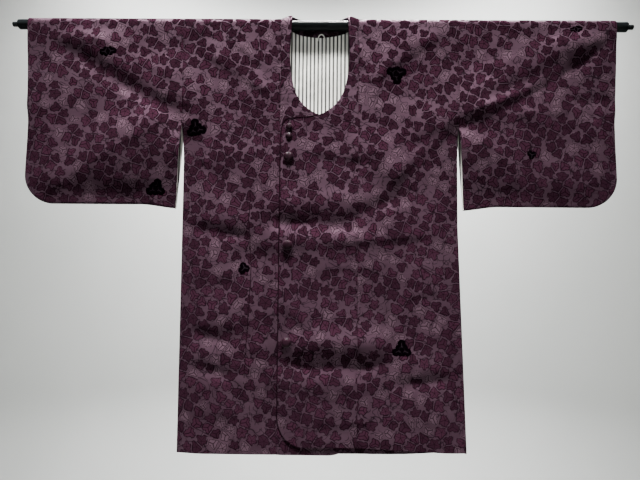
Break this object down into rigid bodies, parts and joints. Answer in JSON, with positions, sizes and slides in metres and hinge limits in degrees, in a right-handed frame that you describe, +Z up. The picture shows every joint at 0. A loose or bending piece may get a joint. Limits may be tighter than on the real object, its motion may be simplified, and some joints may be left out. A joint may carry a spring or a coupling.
{
  "type": "kimono coat on a hanging rod",
  "caption": "Silk coat worn over a kimono, purple leaf jacquard, round neck, buttoned left over right, hung flat by a rod through its wide sleeves.",
  "frame": {"origin": "on the rod's axis, at the middle of the coat's neck", "axes": "+X to the wearer's left along the rod, -Y out of the coat's front, +Z up"},
  "size_m": [1.394, 0.0381, 0.968],
  "materials": {
    "silk_jacquard": "satin",
    "striped_lining": "satin",
    "white_cord": "matte",
    "button_silk": "satin",
    "rod_gloss": "gloss"
  },
  "bodies": {
    "root": {"rod": "rod_gloss", "back_collar": "silk_jacquard", "back_lining": "striped_lining", "hanging_loop": "white_cord", "right_front": "silk_jacquard", "right_front_band": "silk_jacquard", "right_back": "silk_jacquard", "right_sleeve_front": "silk_jacquard", "right_sleeve_back": "silk_jacquard", "left_front": "silk_jacquard", "left_front_band": "silk_jacquard", "left_back": "silk_jacquard", "left_sleeve_front": "silk_jacquard", "left_sleeve_back": "silk_jacquard", "small_button_1": "button_silk", "small_button_2": "button_silk", "large_button_1": "button_silk", "large_button_2": "button_silk", "large_button_3": "button_silk"}
  },
  "joints": []
}
